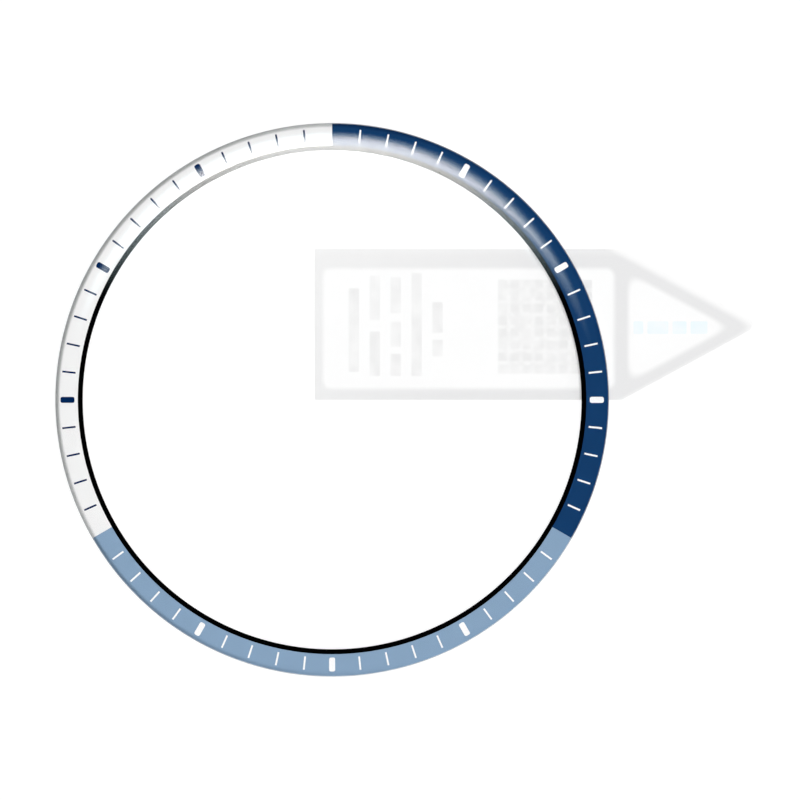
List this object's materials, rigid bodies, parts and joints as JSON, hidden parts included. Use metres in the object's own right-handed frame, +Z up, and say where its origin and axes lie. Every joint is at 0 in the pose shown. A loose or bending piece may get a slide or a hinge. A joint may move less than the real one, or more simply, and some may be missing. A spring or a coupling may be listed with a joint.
{
  "type": "smartwatch screen protector",
  "caption": "Round tempered glass screen protector with a clear window and a printed three-colour minute ring, on its release liner with an arrow pull tab.",
  "frame": {"origin": "middle of the round glass, on the plane that the label and the part lie on", "axes": "+X towards the pull tab's tip, which is 3 o'clock on the printed ring; +Y towards 12 o'clock; +Z up, out of the front of the glass"},
  "size_m": [0.0499, 0.0396, 0.0008],
  "materials": {
    "tempered_glass": "polished",
    "navy_ink": "satin",
    "light_blue_ink": "satin",
    "white_ink": "satin",
    "black_ink": "satin",
    "mark_white_ink": "satin",
    "mark_navy_ink": "satin",
    "backing_ink": "matte",
    "optical_adhesive": "gloss",
    "clear_film": "gloss",
    "silicone_gel": "gloss",
    "label_film": "satin",
    "label_grey_ink": "satin",
    "label_cyan_ink": "satin"
  },
  "bodies": {
    "liner": {"release_liner": "clear_film", "label_adhesive": "optical_adhesive", "label_sheet": "label_film", "label_frame_print": "label_grey_ink", "label_text_bars": "label_grey_ink", "label_dot_grid": "label_grey_ink"},
    "lens": {"glass_lens": "tempered_glass", "navy_sector": "navy_ink", "light_blue_sector": "light_blue_ink", "white_sector": "white_ink", "black_ring": "black_ink", "hour_bars_on_navy": "mark_white_ink", "minute_ticks_on_navy": "mark_white_ink", "hour_bars_on_light_blue": "mark_white_ink", "minute_ticks_on_light_blue": "mark_white_ink", "hour_bars_on_white": "mark_navy_ink", "minute_ticks_on_white": "mark_navy_ink", "backing_ink_ring": "backing_ink", "optical_adhesive": "optical_adhesive", "shatter_film": "clear_film", "silicone_adhesive": "silicone_gel"},
    "pull_tab": {"pull_tab_sheet": "label_film", "pull_tab_frame_print": "label_grey_ink", "pull_tab_text_bars": "label_cyan_ink"}
  },
  "joints": [
    {"name": "lens_lift", "type": "slide", "parent": "liner", "child": "lens", "axis": [0, 0, 1], "range_m": [0, 0.015]},
    {"name": "tab_bend", "type": "hinge", "parent": "liner", "child": "pull_tab", "pos_m": [0.0202, 0.0054, 0.00005], "axis": [0, -1, 0], "range_deg": [-120, 90], "stiffness_Nm_per_rad": 0.00001}
  ]
}
